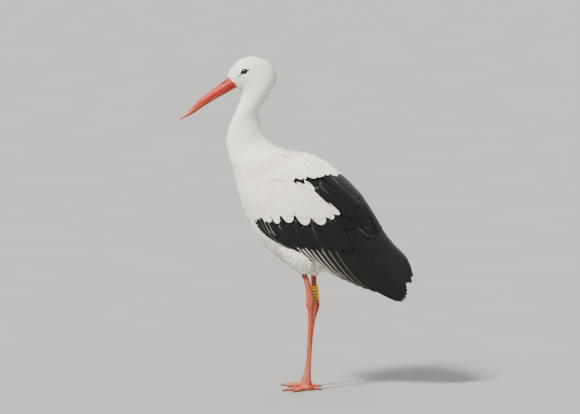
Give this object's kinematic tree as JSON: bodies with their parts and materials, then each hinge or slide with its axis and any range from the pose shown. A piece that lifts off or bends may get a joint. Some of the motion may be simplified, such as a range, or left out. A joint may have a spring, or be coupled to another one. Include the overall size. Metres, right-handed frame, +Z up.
{
  "type": "white stork",
  "caption": "Life-size still model of a white stork standing at rest with folded wings and a coloured ring on one leg.",
  "frame": {"origin": "on the floor under the middle of the bird's length and width", "axes": "+Z up, -Y the way that the bill and breast face, +X the bird's left side"},
  "size_m": [0.1878, 0.6487, 0.9164],
  "materials": {
    "bill": "satin horn",
    "white_feathers": "matte",
    "black_feathers": "satin",
    "eyes": "glossy",
    "leg_skin": "scaly",
    "claws": "satin horn",
    "ring": "gloss"
  },
  "bodies": {
    "root": {"bill_upper": "bill", "bill_lower": "bill", "head": "white_feathers", "eye_l": "eyes", "eye_r": "eyes", "neck_upper": "white_feathers", "neck_lower": "white_feathers", "trunk": "white_feathers", "tail": "white_feathers", "scapulars_l": "black_feathers", "scapulars_r": "black_feathers", "coverts_l": "white_feathers", "coverts_r": "white_feathers", "flight_l": "black_feathers", "flight_r": "black_feathers", "thigh_l": "white_feathers", "thigh_r": "white_feathers", "shank_l": "leg_skin", "shank_r": "leg_skin", "ankle_l": "leg_skin", "ankle_r": "leg_skin", "tarsus_l": "leg_skin", "tarsus_r": "leg_skin", "palm_l": "leg_skin", "palm_r": "leg_skin", "toe_inner_l": "leg_skin", "toe_inner_r": "leg_skin", "toe_middle_l": "leg_skin", "toe_middle_r": "leg_skin", "toe_outer_l": "leg_skin", "toe_outer_r": "leg_skin", "toe_hind_l": "leg_skin", "toe_hind_r": "leg_skin", "claw_inner_l": "claws", "claw_inner_r": "claws", "claw_middle_l": "claws", "claw_middle_r": "claws", "claw_outer_l": "claws", "claw_outer_r": "claws", "claw_hind_l": "claws", "claw_hind_r": "claws", "leg_ring": "ring"}
  },
  "joints": []
}
